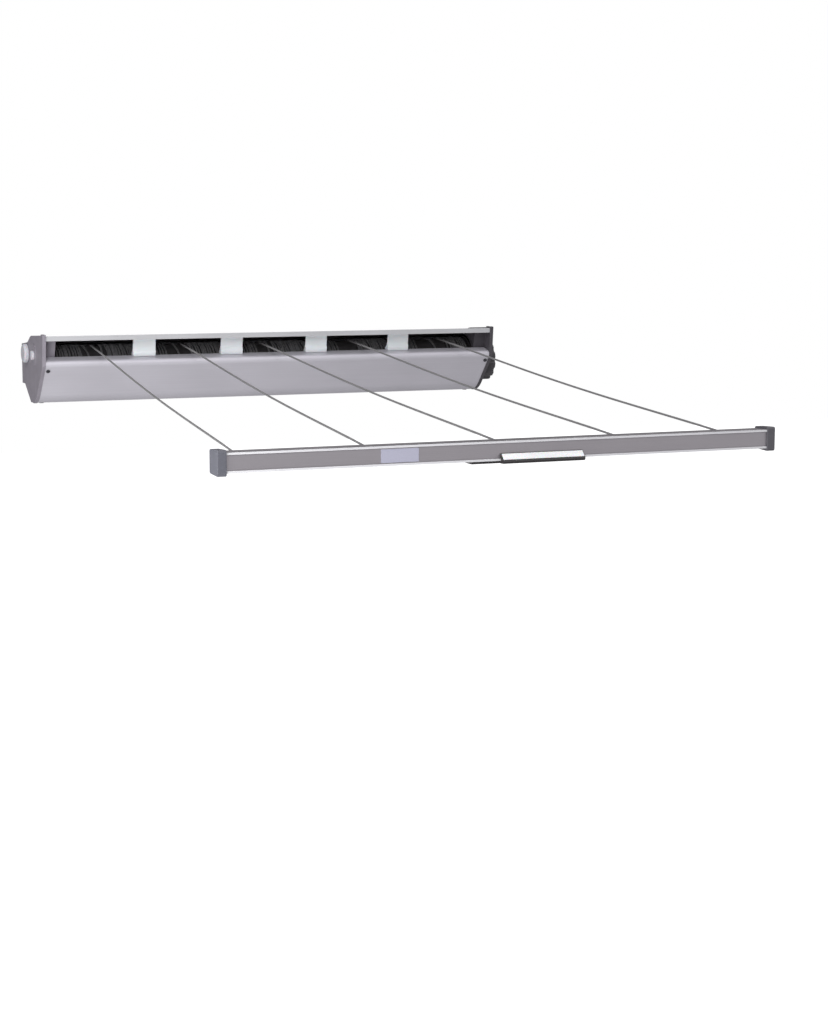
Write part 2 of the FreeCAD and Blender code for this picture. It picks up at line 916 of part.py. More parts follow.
def make_wound_cord(number):
    """The cord left on a drum, in a small bunch and a large one."""
    middle = dim.spool_pitch * (number - 3)
    outer = dim.spool_radius + dim.cord_radius * 2
    inner = dim.spool_radius + 0.02
    bunches = []
    for start, turns in ((-52, 4), (24, 9)):
        name = f"bunch_{number}_{turns}"
        bunches.append(ring(name, outer, inner, middle + start, dim.turn_width * turns))
    node(group(f"wound_{number}", *bunches), f"wound_cord_{number}")


def make_roller_plugs():
    """Plastic plugs in the tube's ends: a bearing on the axle, and a stub for the hand wheel."""
    bore = dim.axle_radius + dim.running_gap
    spigot = tube_inside - 0.02
    left = [
        (-dim.tube_plug_depth, bore),
        (as_size(3), bore),
        (as_size(3), dim.tube_plug_rim),
        (as_size(0.1), dim.tube_plug_rim),
        (as_size(0.1), spigot),
        (-dim.tube_plug_depth, spigot),
    ]
    node(on_axis(turned("plug_left", left), -tube_end, HALF_TURN), "roller_plug_left")
    screw_hole = dim.wheel_screw_radius + 0.1
    stub_end = cap_outside + dim.wheel_gap + dim.wheel_seat - tube_end
    right = [
        (-dim.tube_plug_depth, bore),
        (as_size(-4), bore),
        (as_size(-4), as_size(0)),
        (stub_end - 11, as_size(0)),
        (stub_end - 11, screw_hole),
        (stub_end, screw_hole),
        (stub_end, dim.stub_radius),
        (as_size(3), dim.stub_radius),
        (as_size(3), dim.tube_plug_rim),
        (as_size(0.1), dim.tube_plug_rim),
        (as_size(0.1), spigot),
        (-dim.tube_plug_depth, spigot),
    ]
    node(on_axis(turned("plug_right", right), tube_end), "roller_plug_right")


def make_hand_wheel():
    """Scalloped wheel on the stub outside the right cap, with its screw in a countersink."""
    start = cap_outside + dim.wheel_gap
    seat = start + dim.wheel_seat
    disc = rod("wheel_disc", dim.wheel_radius, dim.wheel_length, start, axis_y, axis_z)
    long = dim.wheel_length + 2
    tools = [
        rod("wheel_bore", dim.stub_radius + 0.02, long, start - 1, axis_y, axis_z),
        rod("wheel_well", dim.wheel_screw_head + 1, dim.wheel_length, seat, axis_y, axis_z),
    ]
    for step in range(int(dim.scallop_count.value)):
        angle = math.tau * step / dim.scallop_count.value
        reach = dim.wheel_radius + dim.scallop_radius * 0.6
        y = axis_y + reach * math.cos(angle)
        z = axis_z + reach * math.sin(angle)
        tools.append(rod(f"scallop_{step}", dim.scallop_radius, long, start - 1, y, z))
    node(cut("wheel_cut", disc, *tools), "hand_wheel")
    head = rod("wheel_screw_head", dim.wheel_screw_head, 4, seat + 0.02, axis_y, axis_z)
    shank = rod("wheel_screw_shank", dim.wheel_screw_radius, 10, seat - 9.9, axis_y, axis_z)
    node(joined("wheel_screw", head, shank), "hand_wheel_screw")


# ---- lock ----------------------------------------------------------------------------------

ratchet_x = -(tube_end + 3.02)


def make_ratchet():
    """Saw-toothed wheel keyed to the roller's left end."""
    count = int(dim.ratchet_teeth.value)
    corners = []
    for tooth in range(count):
        angle = -math.tau * tooth / count
        for radius in (dim.ratchet_radius, dim.ratchet_radius - dim.ratchet_depth):
            corners.append((radius * math.cos(angle), radius * math.sin(angle)))
    wheel = extruded("ratchet_teeth", corners, dim.ratchet_width, reverse=True)
    on_axis(wheel, ratchet_x)
    length = dim.ratchet_width + 2
    bore = rod("ratchet_bore", dim.axle_radius + 1, length, ratchet_x - length + 1, axis_y, axis_z)
    node(cut("ratchet_cut", wheel, bore), "ratchet_wheel")


def make_button():
    """Push button whose cone lifts the pawl, with its return spring."""
    tip = dim.button_stand_out + dim.cap_wall + dim.boss_length + 1.5
    shoulder = dim.button_stand_out + 2.4
    cone = tip - 2.5
    outline = [
        (as_size(0), as_size(0)),
        (tip, as_size(0)),
        (tip, as_size(0.8)),
        (cone, dim.button_stem),
        (shoulder, dim.button_stem),
        (shoulder, dim.button_radius),
        (as_size(0.8), dim.button_radius),
        (as_size(0), dim.button_radius - 0.8),
    ]
    button_x = -(cap_outside + dim.button_stand_out)
    button = place(turned("button", outline), button_x, button_y, dim.button_height)
    node(button, "lock_button")
    spring = coil(
        "button_coil", 5.2, 0.45, 1.5, 4.5, button_x + shoulder + 0.5, button_y, dim.button_height
    )
    node(spring, "button_spring")


def make_pawl():
    """Lever over the ratchet, on a pin in the left cap."""
    # corners as steps from the pivot
    steps = [
        (-31, 3.4),
        (-18, 3.4),
        (-16.2, -7.5),
        (-13.5, -7.1),
        (-2, -4.5),
        (4, -3),
        (4.5, 2),
        (0, 5),
        (-10, 7.4),
        (-31, 7.4),
    ]
    lever = extruded("lever", map(as_sizes, steps), 5)
    pawl_x = ratchet_x - dim.ratchet_width + 0.5
    place(lever, pawl_x, pivot_y, dim.pivot_height)
    hole = rod(
        "pawl_hole", dim.pin_radius + dim.running_gap, 7, pawl_x - 1, pivot_y, dim.pivot_height
    )
    node(cut("pawl_cut", lever, hole), "lock_pawl")
    pin_start = -(boss_inner + 5.5)
    length = pawl_x + 6 - pin_start
    node(rod("pin", dim.pin_radius, length, pin_start, pivot_y, dim.pivot_height), "pawl_pin")


# ---- front bar -----------------------------------------------------------------------------

bar_y = -dim.bar_front + dim.bar_depth / 2
bar_z = -dim.bar_drop
bar_back = bar_y + dim.bar_depth / 2
bar_floor = bar_z - dim.bar_height / 2
bar_start = dim.bar_shift - dim.bar_length / 2
cord_end_y = bar_back - dim.bar_wall - 5
cord_end_z = bar_z + 0.9
handle_screw_xs = (dim.handle_start + 14, dim.handle_start + dim.handle_length - 14)
handle_screw_y = bar_y + 6


def cord_end_x(number):
    """Where a cord's hole stands along the bar."""
    return dim.bar_shift + dim.cord_spacing * (number - 3) + HOLE_SHIFTS[number - 1]


def handle_rod(name, x, radius, length, rise):
    """An upright rod on a handle screw's axis, from a rise above the bar's underside."""
    return leaning_rod(name, radius, length, x, handle_screw_y, bar_floor + rise, Z_AXIS)


def make_bar():
    """Hollow bar with a sunk front face between two ribs, drilled for the cords."""
    front = -dim.bar_depth / 2
    half = dim.bar_height / 2
    sunk = front + dim.bar_recess
    rib = half - dim.bar_rib
    section = [
        (front, half),
        (front, rib),
        (sunk, rib),
        (sunk, -rib),
        (front, -rib),
        (front, -half),
        (-front, -half),
        (-front, half),
    ]
    profile = place(extruded("bar_profile", section, dim.bar_length), bar_start, bar_y, bar_z)
    wall = dim.bar_wall
    hollow = box(
        "bar_hollow",
        bar_start - 1,
        -dim.bar_front + dim.bar_recess + wall,
        bar_floor + wall,
        dim.bar_length + 2,
        dim.bar_depth - dim.bar_recess - wall * 2,
        dim.bar_height - wall * 2,
    )
    holes = []
    for number in SPOOLS:
        x = cord_end_x(number)
        name = f"cord_hole_{number}"
        y = bar_back - wall - 1
        radius = dim.bush_radius + dim.running_gap
        holes.append(leaning_rod(name, radius, wall + 2, x, y, cord_end_z, INTO_WALL))
    for number, x in enumerate(handle_screw_xs):
        radius = dim.handle_screw_radius + dim.running_gap
        holes.append(handle_rod(f"bar_screw_hole_{number}", x, radius, wall + 2, -1))
    node(cut("bar_cut", profile, hollow, *holes), "bar_extrusion")


def make_bar_caps():
    """End caps of the bar, each with a spigot inside the extrusion."""
    front = -dim.bar_depth / 2 - 2
    back = front + dim.bar_cap_depth
    high, low = dim.bar_cap_height / 2, dim.bar_cap_back_height / 2
    section = [(front, high), (front, -high), (back, -low), (back, low)]
    for side in SIDES:
        name = "left" if side < 0 else "right"
        shell = extruded(f"bar_cap_{name}_body", section, dim.bar_cap_length, reverse=side < 0)
        round_edges(shell, 3, *section)
        end = dim.bar_shift + dim.bar_length / 2 * side
        place(shell, end, bar_y, bar_z)
        slack = dim.bar_wall + 0.1
        spigot_x = end - dim.bar_plug_length if side > 0 else end
        spigot = box(
            f"bar_spigot_{name}",
            spigot_x,
            -dim.bar_front + dim.bar_recess + slack,
            bar_floor + slack,
            dim.bar_plug_length,
            dim.bar_depth - dim.bar_recess - slack * 2,
            dim.bar_height - slack * 2,
        )
        node(joined(f"bar_cap_{name}", shell, spigot), f"bar_cap_{name}")


def make_name_plate():
    """A blank plate stuck in the sunk face of the bar."""
    tall = dim.bar_height - dim.bar_rib * 2 - dim.plate_margin * 2
    y = -dim.bar_front + dim.bar_recess - dim.plate_wall - 0.02
    plate = box(
        "plate", dim.plate_start, y, bar_z - tall / 2, dim.plate_length, dim.plate_wall, tall
    )
    node(plate, "name_plate")


def grip_point(share, rise):
    """A point this share of the way down the grip's leaning face, and this far out from it."""
    run = dim.grip_reach - dim.grip_gap
    fall = dim.grip_high - dim.grip_low
    length = root(run * run + fall * fall)
    y = -dim.bar_front - dim.grip_gap - run * share - fall / length * rise
    z = bar_floor + dim.grip_high - fall * share + run / length * rise
    return y, z


def make_handle():
    """Pull handle: a foot under the bar, a leaning grip in front of it, and the grip's pale face."""
    front = -dim.bar_front
    grip_section = [
        (front - dim.grip_gap, bar_floor + dim.grip_high),
        (front - dim.grip_reach, bar_floor + dim.grip_low),
        (front - dim.grip_reach - 1, bar_floor - 0.2),
        (front - dim.grip_reach + 0.5, bar_floor - dim.handle_foot),
        (front + 4, bar_floor - dim.handle_foot),
        (front + 4, bar_floor - 0.1),
        (front - dim.grip_gap, bar_floor - 0.1),
    ]
    grip = place(extruded("grip", grip_section, dim.grip_length), dim.grip_start)
    foot_plate = box(
        "handle_foot",
        dim.handle_start,
        front + 2,
        bar_floor - dim.handle_foot,
        dim.handle_length,
        dim.bar_depth - 6,
        dim.handle_foot - 0.1,
    )
    holes, screws = [], []
    thin = dim.handle_screw_radius
    for number, x in enumerate(handle_screw_xs):
        holes.append(handle_rod(f"handle_hole_{number}", x, thin + 0.2, 5, -4))
        head = handle_rod(f"handle_head_{number}", x, thin + 1.3, 1.5, -4.75)
        shank = handle_rod(f"handle_shank_{number}", x, thin, 7, -3.5)
        screws.append(joined(f"handle_screw_{number}", head, shank))
    node(cut("handle_cut", joined("handle_solid", grip, foot_plate), *holes), "handle")
    node(group("handle_screw_pair", *screws), "handle_screws")
    top = [grip_point(0.1, 0.05), grip_point(0.95, 0.05)]
    top += [grip_point(0.95, dim.grip_top_wall), grip_point(0.1, dim.grip_top_wall)]
    inlay = extruded("grip_inlay", top, dim.grip_length - 2)
    node(place(inlay, dim.grip_start + 1), "grip_top")


# ---- cords ---------------------------------------------------------------------------------


def make_cords():
    """Free cords from the drums to the bar, with the bush and the stop at each far end."""
    lean = math.radians(dim.cord_lean.value)
    reach = dim.spool_radius + dim.cord_radius + 0.15
    bushes, stops = [], []
    for number, shift in zip(SPOOLS, EXIT_SHIFTS):
        start = (
            dim.spool_pitch * (number - 3) + shift,
            axis_y - reach * math.sin(lean),
            axis_z + reach * math.cos(lean),
        )
        end = (cord_end_x(number), cord_end_y, cord_end_z)
        steps = [b - a for a, b in zip(start, end)]
        length = root(steps[0] * steps[0] + steps[1] * steps[1] + steps[2] * steps[2])
        way = FreeCAD.Vector(*[step.value for step in steps]).normalize()
        cord = leaning_rod(f"cord_{number}_rod", dim.cord_radius, length, *start, way)
        node(cord, f"cord_{number}")
        bushes.append(make_bush(number))
        stops.append(make_stop(number, end, way))
    node(group("bush_set", *bushes), "cord_bushes")
    node(group("stop_set", *stops), "cord_stops")


def back_rod(name, radius, length, middle, start):
    """A rod that runs toward the wall from a depth, about an (X, Z) middle."""
    x, z = middle
    return leaning_rod(name, radius, length, x, start, z, INTO_WALL)


def make_bush(number):
    """Flanged bush that lines a cord's hole in the back of the bar."""
    middle = (cord_end_x(number), cord_end_z)
    inside = bar_back - dim.bar_wall - 0.5
    sleeve = back_rod(f"sleeve_{number}", dim.bush_radius, 3.6, middle, inside)
    flange = back_rod(f"bush_flange_{number}", dim.bush_flange, 1.4, middle, bar_back + 0.1)
    bore = back_rod(f"bush_bore_{number}", dim.bush_bore, 6, middle, inside - 1)
    return cut(f"bush_{number}", joined(f"bush_{number}_solid", sleeve, flange), bore)


def make_stop(number, end, way):
    """Crimped sleeve on the end of a cord, too wide to pull through the bush."""
    start = [coordinate - 3 * part for coordinate, part in zip(end, way)]
    below = [coordinate - 4 * part for coordinate, part in zip(end, way)]
    sleeve = leaning_rod(f"stop_sleeve_{number}", dim.stop_radius, 6, *start, way)
    bore = leaning_rod(f"stop_bore_{number}", dim.cord_radius + 0.02, 8, *below, way)
    return cut(f"stop_{number}", sleeve, bore)


# ---- build, check and export ---------------------------------------------------------------


def check_document():
    """Stops on any object that failed, and on any sub-part without one valid shape."""
    doc.recompute()
    for thing in doc.Objects:
        if "Invalid" in thing.State or "Error" in thing.State:
            raise ValueError(f"{thing.Name} did not build: {thing.State}")
    for thing in nodes:
        if thing.Shape.isNull() or not thing.Shape.isValid() or thing.Shape.Volume <= 0:
            raise ValueError(f"{thing.Label} has no valid shape")


def export_nodes():
    os.makedirs("parts", exist_ok=True)
    for thing in nodes:
        thing.Shape.exportStep(os.path.join("parts", f"{thing.Label}.step"))


make_casing()
make_front_panel()
make_spacers()
make_left_cap()
make_right_cap()
make_sheet_screws()
make_brackets_and_knobs()
make_axle()
make_return_spring()
make_tube()
for spool_number in SPOOLS:
    make_spool(spool_number)
    make_wound_cord(spool_number)
make_roller_plugs()
make_hand_wheel()
make_ratchet()
make_button()
make_pawl()
make_bar()
make_bar_caps()
make_name_plate()
make_handle()
make_cords()
check_document()
export_nodes()
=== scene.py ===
"""The looks of a wall-mounted retractable clothesline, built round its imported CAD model.

The frame's hard pieces stay, with rounded edges and procedural finishes. Three kinds of piece are made anew:
the turns of line wound on the five spools, the five sheathed cords that run out to the front bar, and the
lock button's return spring, which has to close up as the button goes in.
Everything is in metres, in the CAD frame: X right along the wall, Y into the wall, Z up.
"""

import json
import math
import random

import bpy
from mathutils import Matrix, Vector
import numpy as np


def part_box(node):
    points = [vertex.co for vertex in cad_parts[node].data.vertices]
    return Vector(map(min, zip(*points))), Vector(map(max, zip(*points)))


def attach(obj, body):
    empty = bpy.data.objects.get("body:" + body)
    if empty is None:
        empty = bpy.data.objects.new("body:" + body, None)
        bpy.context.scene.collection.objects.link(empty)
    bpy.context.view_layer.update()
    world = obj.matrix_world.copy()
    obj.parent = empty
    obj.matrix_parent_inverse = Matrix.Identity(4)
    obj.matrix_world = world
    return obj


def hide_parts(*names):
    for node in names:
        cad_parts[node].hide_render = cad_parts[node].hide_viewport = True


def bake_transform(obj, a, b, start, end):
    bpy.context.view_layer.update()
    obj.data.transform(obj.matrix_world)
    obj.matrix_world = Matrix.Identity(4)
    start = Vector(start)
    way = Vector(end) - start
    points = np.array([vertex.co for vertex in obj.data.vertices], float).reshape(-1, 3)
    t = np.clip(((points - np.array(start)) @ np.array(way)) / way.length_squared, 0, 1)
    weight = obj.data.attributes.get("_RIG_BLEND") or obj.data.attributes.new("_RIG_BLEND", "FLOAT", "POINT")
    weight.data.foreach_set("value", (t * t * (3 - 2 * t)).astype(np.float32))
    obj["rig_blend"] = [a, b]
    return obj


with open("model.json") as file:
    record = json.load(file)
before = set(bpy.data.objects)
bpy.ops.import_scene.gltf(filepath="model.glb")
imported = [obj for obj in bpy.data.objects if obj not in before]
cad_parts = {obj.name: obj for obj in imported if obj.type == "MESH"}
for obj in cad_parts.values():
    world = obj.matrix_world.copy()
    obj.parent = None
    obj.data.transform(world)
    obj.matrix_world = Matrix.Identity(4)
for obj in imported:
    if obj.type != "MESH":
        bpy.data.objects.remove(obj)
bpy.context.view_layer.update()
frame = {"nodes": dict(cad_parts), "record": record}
NODES = frame["nodes"]
SLOTS = {part["node"]: part["material_slot"] for part in frame["record"]["subparts"]}

MM = 0.001

# the bar's front: the height of the ribs above and below it, and how far it is sunk between them
BAR_RIB = 2.8 * MM
BAR_RECESS = 1.2 * MM

# the line: one cord for each spool, and the room that a spool's flanges take at each end
CORD_NUMBERS = range(1, 6)
LINE_RADIUS = 1.5 * MM
LINE_SAG = 5 * MM
LINE_SEED = 7
STEPS_PER_TURN = 40
FLANGE_ROOM = 4.5 * MM

# edges are rounded by this much in each slot, where two faces meet at more than the smallest corner
EDGE_ROUNDING = {
    "anodised_aluminium": 0.3 * MM,
    "white_plastic": 0.5 * MM,
    "grey_plastic": 0.6 * MM,
    "pale_plastic": 0.5 * MM,
    "charcoal_plastic": 0.5 * MM,
}
SMALLEST_CORNER = math.radians(28)

# the photograph's view, with the lens in mm for a 36 mm sensor
CAMERA_PLACE = (-1.14175, -3.41097, 0.23259)
CAMERA_YAW = math.radians(23.14)
CAMERA_PITCH = math.radians(7.95)
CAMERA_ROLL = math.radians(0.155)
CAMERA_LENS = 72.465


def add_object(name, data):
    """A new object in the scene that shows this mesh, lamp or camera."""
    thing = bpy.data.objects.new(name, data)
    bpy.context.scene.collection.objects.link(thing)
    return thing


def shade(colour, share):
    """The colour with every part multiplied by share."""
    return tuple(share * part for part in colour)


# ---------------------------------------------------------------- node trees


class Finish:
    """One material's node tree, with short calls that add nodes and join them."""

    def __init__(self, name):
        self.material = bpy.data.materials.new(name)
        self.material.use_nodes = True
        self.tree = self.material.node_tree
        self.shader = self.tree.nodes["Principled BSDF"]

    def join(self, socket, value):
        """Feeds an input from another node's output, or gives it a plain value."""
        if isinstance(value, bpy.types.NodeSocket):
            self.tree.links.new(value, socket)
        elif isinstance(value, tuple) and socket.type == "RGBA":
            socket.default_value = (*value, 1)
        else:
            socket.default_value = value

    def add(self, kind, settings=None, **inputs):
        """A new node of this kind. An input's name is written with _ for each space."""
        node = self.tree.nodes.new("ShaderNode" + kind)
        for name, value in (settings or {}).items():
            setattr(node, name, value)
        for name, value in inputs.items():
            self.join(node.inputs[name.replace("_", " ")], value)
        return node

    def set(self, **inputs):
        """Sets the shader's own inputs."""
        for name, value in inputs.items():
            self.join(self.shader.inputs[name.replace("_", " ")], value)

    def place(self, scale=(1, 1, 1)):
        """The point's place in the CAD frame, in metres, stretched by scale."""
        where = self.add("TexCoord").outputs["Object"]
        return self.add("Mapping", Vector=where, Scale=scale).outputs["Vector"]

    def noise(self, scale, stretch=(1, 1, 1), detail=3.0, roughness=0.5):
        """A noise value with about `scale` patches to the metre."""
        texture = self.add(
            "TexNoise", Vector=self.place(stretch), Scale=scale, Detail=detail, Roughness=roughness
        )
        return texture.outputs["Fac"]

    def span(self, value, low, high, start=0.3, end=0.7):
        """Maps a value that runs from start to end onto low to high."""
        node = self.add("MapRange", Value=value, From_Min=start, From_Max=end, To_Min=low, To_Max=high)
        return node.outputs["Result"]

    def maths(self, operation, first, second=0.0):
        """One sum on two values."""
        node = self.add("Math", {"operation": operation})
        self.join(node.inputs[0], first)
        self.join(node.inputs[1], second)
        return node.outputs[0]

    def blend(self, share, first, second):
        """The first colour at share 0 and the second at share 1."""
        node = self.add("Mix", {"data_type": "RGBA"})
        self.join(node.inputs["Factor"], share)
        self.join(node.inputs[6], first)
        self.join(node.inputs[7], second)
        return node.outputs[2]

    def edges(self, radius):
        """About 1 along sharp edges, within radius of them, and 0 on flat or gently curved faces."""
        rounded = self.add("Bevel", {"samples": 4}, Radius=radius).outputs["Normal"]
        true = self.add("NewGeometry").outputs["Normal"]
        facing = self.add("VectorMath", {"operation": "DOT_PRODUCT"})
        self.join(facing.inputs[0], rounded)
        self.join(facing.inputs[1], true)
        return self.span(facing.outputs["Value"], 1.0, 0.0, start=0.82, end=0.985)

    def bump(self, height, depth):
        """Dents the surface by height times depth, in metres."""
        node = self.add("Bump", Height=height, Strength=1.0, Distance=depth)
        self.set(Normal=node.outputs["Normal"])


# ---------------------------------------------------------------- finishes


def extruded_metal(name, colour, roughness=0.36, metallic=0.9):
    """Satin anodised aluminium: die lines along X, a slight cloudiness, and brighter worn edges."""
    finish = Finish(name)
    lines = finish.noise(1.0, stretch=(3, 1500, 1500), detail=4)
    cloud = finish.noise(9.0, stretch=(1, 2, 2), detail=2)
    worn = finish.edges(0.6 * MM)
    tint = finish.blend(finish.span(cloud, 0, 1), colour, shade(colour, 0.93))
    tint = finish.blend(finish.span(lines, 0, 0.35), tint, shade(colour, 0.8))
    tint = finish.blend(finish.maths("MULTIPLY", worn, 0.6), tint, (0.86, 0.86, 0.88))
    finish.set(Base_Color=tint, Metallic=metallic)
    ripple = finish.span(lines, -0.05, 0.07)
    rough = finish.maths("ADD", ripple, finish.span(cloud, roughness, roughness + 0.05))
    finish.set(Roughness=finish.maths("SUBTRACT", rough, finish.maths("MULTIPLY", worn, 0.1)))
    finish.set(Anisotropic=0.4)
    finish.bump(lines, 0.02 * MM)
    return finish


def bar_metal(name, face, rib):
    """The bar's anodising: a satin body, ribs above and below its sunk front painted near-white as a painted
    highlight, and painted shade on the sunk front beside them.
    """
    finish = extruded_metal(name, face, 0.34, 0.85)
    low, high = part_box("bar_extrusion")
    rib_start = (high.z - low.z) / 2 - BAR_RIB
    where = finish.add("SeparateXYZ", Vector=finish.place())
    off = finish.maths("ABSOLUTE", finish.maths("SUBTRACT", where.outputs["Z"], (low.z + high.z) / 2))
    ribs = finish.maths("GREATER_THAN", off, rib_start)
    front = finish.maths("LESS_THAN", where.outputs["Y"], low.y + BAR_RECESS / 2)
    bright = finish.maths("MULTIPLY", ribs, front)
    streaks = finish.noise(1.0, stretch=(5, 900, 900), detail=3)
    painted_rib_highlight = finish.blend(finish.span(streaks, 0, 0.6), rib, shade(rib, 0.88))
    body = finish.shader.inputs["Base Color"].links[0].from_socket
    # painted shade: the sunk front is darkened in a band next to each rib, where the rib shades it
    dust_and_painted_shade = finish.span(off, 0, 0.45, start=rib_start - 1.6 * MM, end=rib_start - 0.3 * MM)
    body = finish.blend(dust_and_painted_shade, body, shade(face, 0.35))
    # painted highlight: the ribs' front faces get a near-white, nearly matt colour in place of the light they
    # reflect
    finish.set(Base_Color=finish.blend(bright, body, painted_rib_highlight))
    finish.set(Metallic=finish.span(bright, 0.85, 0.1, start=0, end=1))
    return finish


def moulded_plastic(name, colour, roughness=0.5, grain=0.03, gloss=0.1, glow=0.0):
    """Injection-moulded plastic: a fine spark-eroded grain, faint flow marks and scuffed edges."""
    finish = Finish(name)
    pits = finish.noise(2600.0, detail=2)
    flow = finish.noise(22.0, stretch=(1, 1.5, 2.5), detail=3)
    worn = finish.edges(0.5 * MM)
    pale = tuple(part + (1 - part) * 0.16 for part in colour)
    tint = finish.blend(finish.span(flow, 0, 1), colour, shade(colour, 0.88))
    tint = finish.blend(finish.span(pits, 0, 0.3), tint, shade(colour, 0.8))
    tint = finish.blend(finish.maths("MULTIPLY", worn, 0.55), tint, pale)
    finish.set(Base_Color=tint)
    ripple = finish.span(flow, -0.05, 0.06)
    finish.set(Roughness=finish.maths("ADD", ripple, finish.span(pits, roughness, roughness + 0.1)))
    finish.set(Coat_Weight=gloss, Coat_Roughness=0.25, Subsurface_Weight=glow, Subsurface_Scale=1.5 * MM)
    finish.bump(pits, grain * MM)
    return finish


def plated_steel(name, colour, roughness=0.35, metallic=1.0):
    """Plated or oiled steel: a mottled coat over fine rolling marks, rubbed bright along its edges."""
    finish = Finish(name)
    mottle = finish.noise(240.0, detail=4, roughness=0.6)
    marks = finish.noise(1.0, stretch=(900, 60, 900), detail=3)
    worn = finish.edges(0.4 * MM)
    tint = finish.blend(finish.span(mottle, 0, 1), colour, shade(colour, 0.74))
    tint = finish.blend(finish.maths("MULTIPLY", worn, 0.5), tint, (0.7, 0.7, 0.7))
    finish.set(Base_Color=tint, Metallic=metallic)
    ripple = finish.span(marks, -0.05, 0.08)
    finish.set(Roughness=finish.maths("ADD", ripple, finish.span(mottle, roughness, roughness + 0.14)))
    finish.bump(finish.maths("ADD", mottle, marks), 0.015 * MM)
    return finish


def crimped_brass(name, colour):
    """Brass gone dull, with tarnish in its hollows."""
    finish = plated_steel(name, colour, roughness=0.3)
    tarnish = finish.noise(420.0, detail=5, roughness=0.7)
    tint = finish.blend(finish.span(tarnish, 0, 1, start=0.45), colour, (0.2, 0.13, 0.06))
    finish.set(Base_Color=tint)
    return finish


def sheathed_cord(name, colour):
    """Line with a braided core under a matt sheath. The mesh's map runs along the cord and round it."""
    finish = Finish(name)
    mapped = finish.add("UVMap", {"uv_map": "sheath"}).outputs["UV"]
    strands = []
    for turn in (1, -1):
        slanted = finish.add("Mapping", Vector=mapped, Rotation=(0, 0, turn * math.radians(45)))
        wave = finish.add("TexWave", {"wave_profile": "SIN"}, Vector=slanted.outputs["Vector"], Scale=1.1)
        strands.append(wave.outputs["Fac"])
    braid = finish.maths("MAXIMUM", *strands)
    dust_and_painted_shade = finish.noise(160.0, detail=4)
    tint = finish.blend(finish.span(dust_and_painted_shade, 0, 1), colour, shade(colour, 1.45))
    tint = finish.blend(finish.span(braid, 0.5, 0, start=0.2, end=0.9), tint, shade(colour, 0.55))
    finish.set(Base_Color=tint, Coat_Weight=0.05)
    finish.set(Sheen_Weight=0.15, Sheen_Roughness=0.5)
    finish.set(Roughness=finish.span(dust_and_painted_shade, 0.55, 0.75))
    finish.bump(braid, 0.08 * MM)
    return finish


def blank_film(name, colour):
    """The bar's name plate with nothing on it: a pale printed film with a thin frame line near its rim."""
    finish = Finish(name)
    line_inset = 1.5 * MM
    line_half_width = 0.3 * MM
    low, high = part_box("name_plate")
    centre = (low + high) / 2
    half = (high - low) / 2
    where = finish.add("SeparateXYZ", Vector=finish.place())
    insets = []
    for axis, side in ((0, "X"), (2, "Z")):
        off = finish.maths("ABSOLUTE", finish.maths("SUBTRACT", where.outputs[side], centre[axis]))
        insets.append(finish.maths("SUBTRACT", half[axis], off))
    inset = finish.maths("MINIMUM", *insets)
    miss = finish.maths("ABSOLUTE", finish.maths("SUBTRACT", inset, line_inset))
    line = finish.maths("LESS_THAN", miss, line_half_width)
    paper = finish.noise(900.0, detail=4)
    tint = finish.blend(finish.span(paper, 0, 1), colour, shade(colour, 0.94))
    tint = finish.blend(finish.maths("MULTIPLY", line, 0.3), tint, (0.35, 0.37, 0.5))
    finish.set(Base_Color=tint, Coat_Weight=0.4, Coat_Roughness=0.15)
    finish.set(Roughness=finish.span(paper, 0.35, 0.5))
    finish.bump(paper, 0.01 * MM)
    return finish


def make_finishes():
    """One finish for each material slot of the record, and one for each piece that differs from its slot."""
    return {
        "anodised_aluminium": extruded_metal("satin_anodised", (0.58, 0.565, 0.615), 0.42, 0.3),
        "casing": extruded_metal("pale_anodised", (0.53, 0.535, 0.55), 0.4, 0.2),
        "bar_extrusion": bar_metal("bar_anodised", (0.59, 0.56, 0.59), (0.78, 0.78, 0.8)),
        "white_plastic": moulded_plastic("white_moulding", (0.7, 0.73, 0.75), 0.35, 0.01, 0.25, 0.1),
        "grey_plastic": moulded_plastic("grey_moulding", (0.25, 0.232, 0.265), 0.45),
        # painted shade: the right end cap is the left cap's grey plastic, darkened to near-black
        "end_cap_right": moulded_plastic("painted_shade_grey_moulding", (0.062, 0.057, 0.066), 0.45),
        "hand_wheel": moulded_plastic("wheel_moulding", (0.055, 0.052, 0.058), 0.38),
        "bar_cap_left": moulded_plastic("slate_moulding", (0.125, 0.127, 0.15), 0.38),
        # painted shade: the right bar cap is a darker copy of the left bar cap's slate plastic
        "bar_cap_right": moulded_plastic("painted_shade_slate_moulding", (0.115, 0.111, 0.125), 0.4),
        "pale_plastic": moulded_plastic("pale_moulding", (0.54, 0.53, 0.57), 0.35, 0.012, 0.25, 0.1),
        # painted highlight: the grip's top is the handle's pale plastic made near-white where light falls on
        # it
        "grip_top": moulded_plastic("painted_highlight_grip", (0.93, 0.93, 0.94), 0.3, 0.008, 0.4, 0.1),
        "charcoal_plastic": moulded_plastic("charcoal_moulding", (0.03, 0.027, 0.028), 0.42),
        "zinc_steel": plated_steel("zinc_plate", (0.56, 0.56, 0.56)),
        "spring_steel": plated_steel("oiled_spring", (0.27, 0.27, 0.28), 0.3),
        "dark_screws": plated_steel("black_screw", (0.08, 0.08, 0.09), 0.35, 0.8),
        "cord_sheath": sheathed_cord("sheathed_line", (0.12, 0.117, 0.12)),
        "crimp_brass": crimped_brass("dull_brass", (0.62, 0.46, 0.22)),
        "blank_label": blank_film("blank_film", (0.45, 0.45, 0.55)),
    }


# ---------------------------------------------------------------- hard pieces


